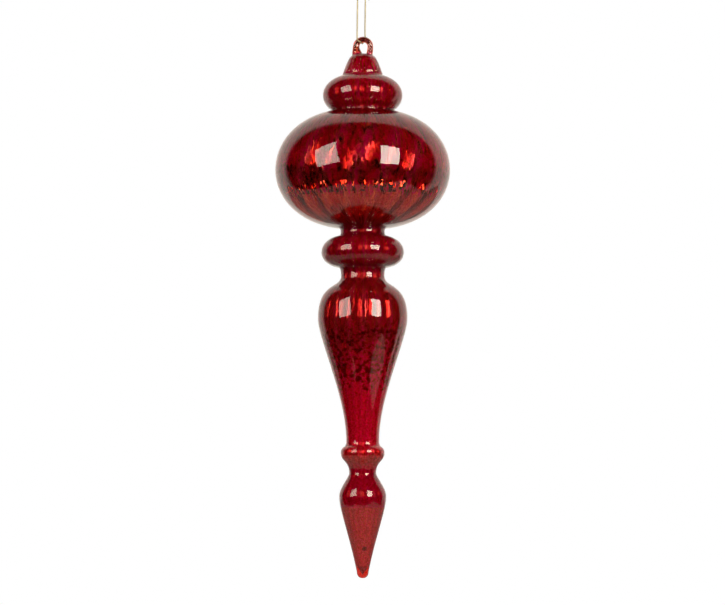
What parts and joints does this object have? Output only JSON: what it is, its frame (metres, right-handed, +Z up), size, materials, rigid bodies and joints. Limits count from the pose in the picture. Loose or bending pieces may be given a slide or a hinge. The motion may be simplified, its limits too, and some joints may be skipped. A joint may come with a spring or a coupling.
{
  "type": "christmas drop ornament",
  "caption": "Long blown glass drop for a Christmas tree: bead, flattened ball, collar, vase and teardrop in red silvered glass with swirled ribs, hung on a gold thread.",
  "frame": {"origin": "where the thread bears on the inside top of the glass eye", "axes": "+Z up along the axis of the glass, +Y along the eye's hole towards the back, +X to the right"},
  "size_m": [0.097, 0.097, 0.333],
  "materials": {
    "silvered_glass": "red blown glass, silvered on its ribbed inside",
    "gold_thread": "twisted metallic thread",
    "gold_knot": "twisted metallic thread, drawn tight"
  },
  "bodies": {
    "root": {"glass_drop": "silvered_glass", "hanging_thread": "gold_thread", "thread_knot": "gold_knot"}
  },
  "joints": []
}
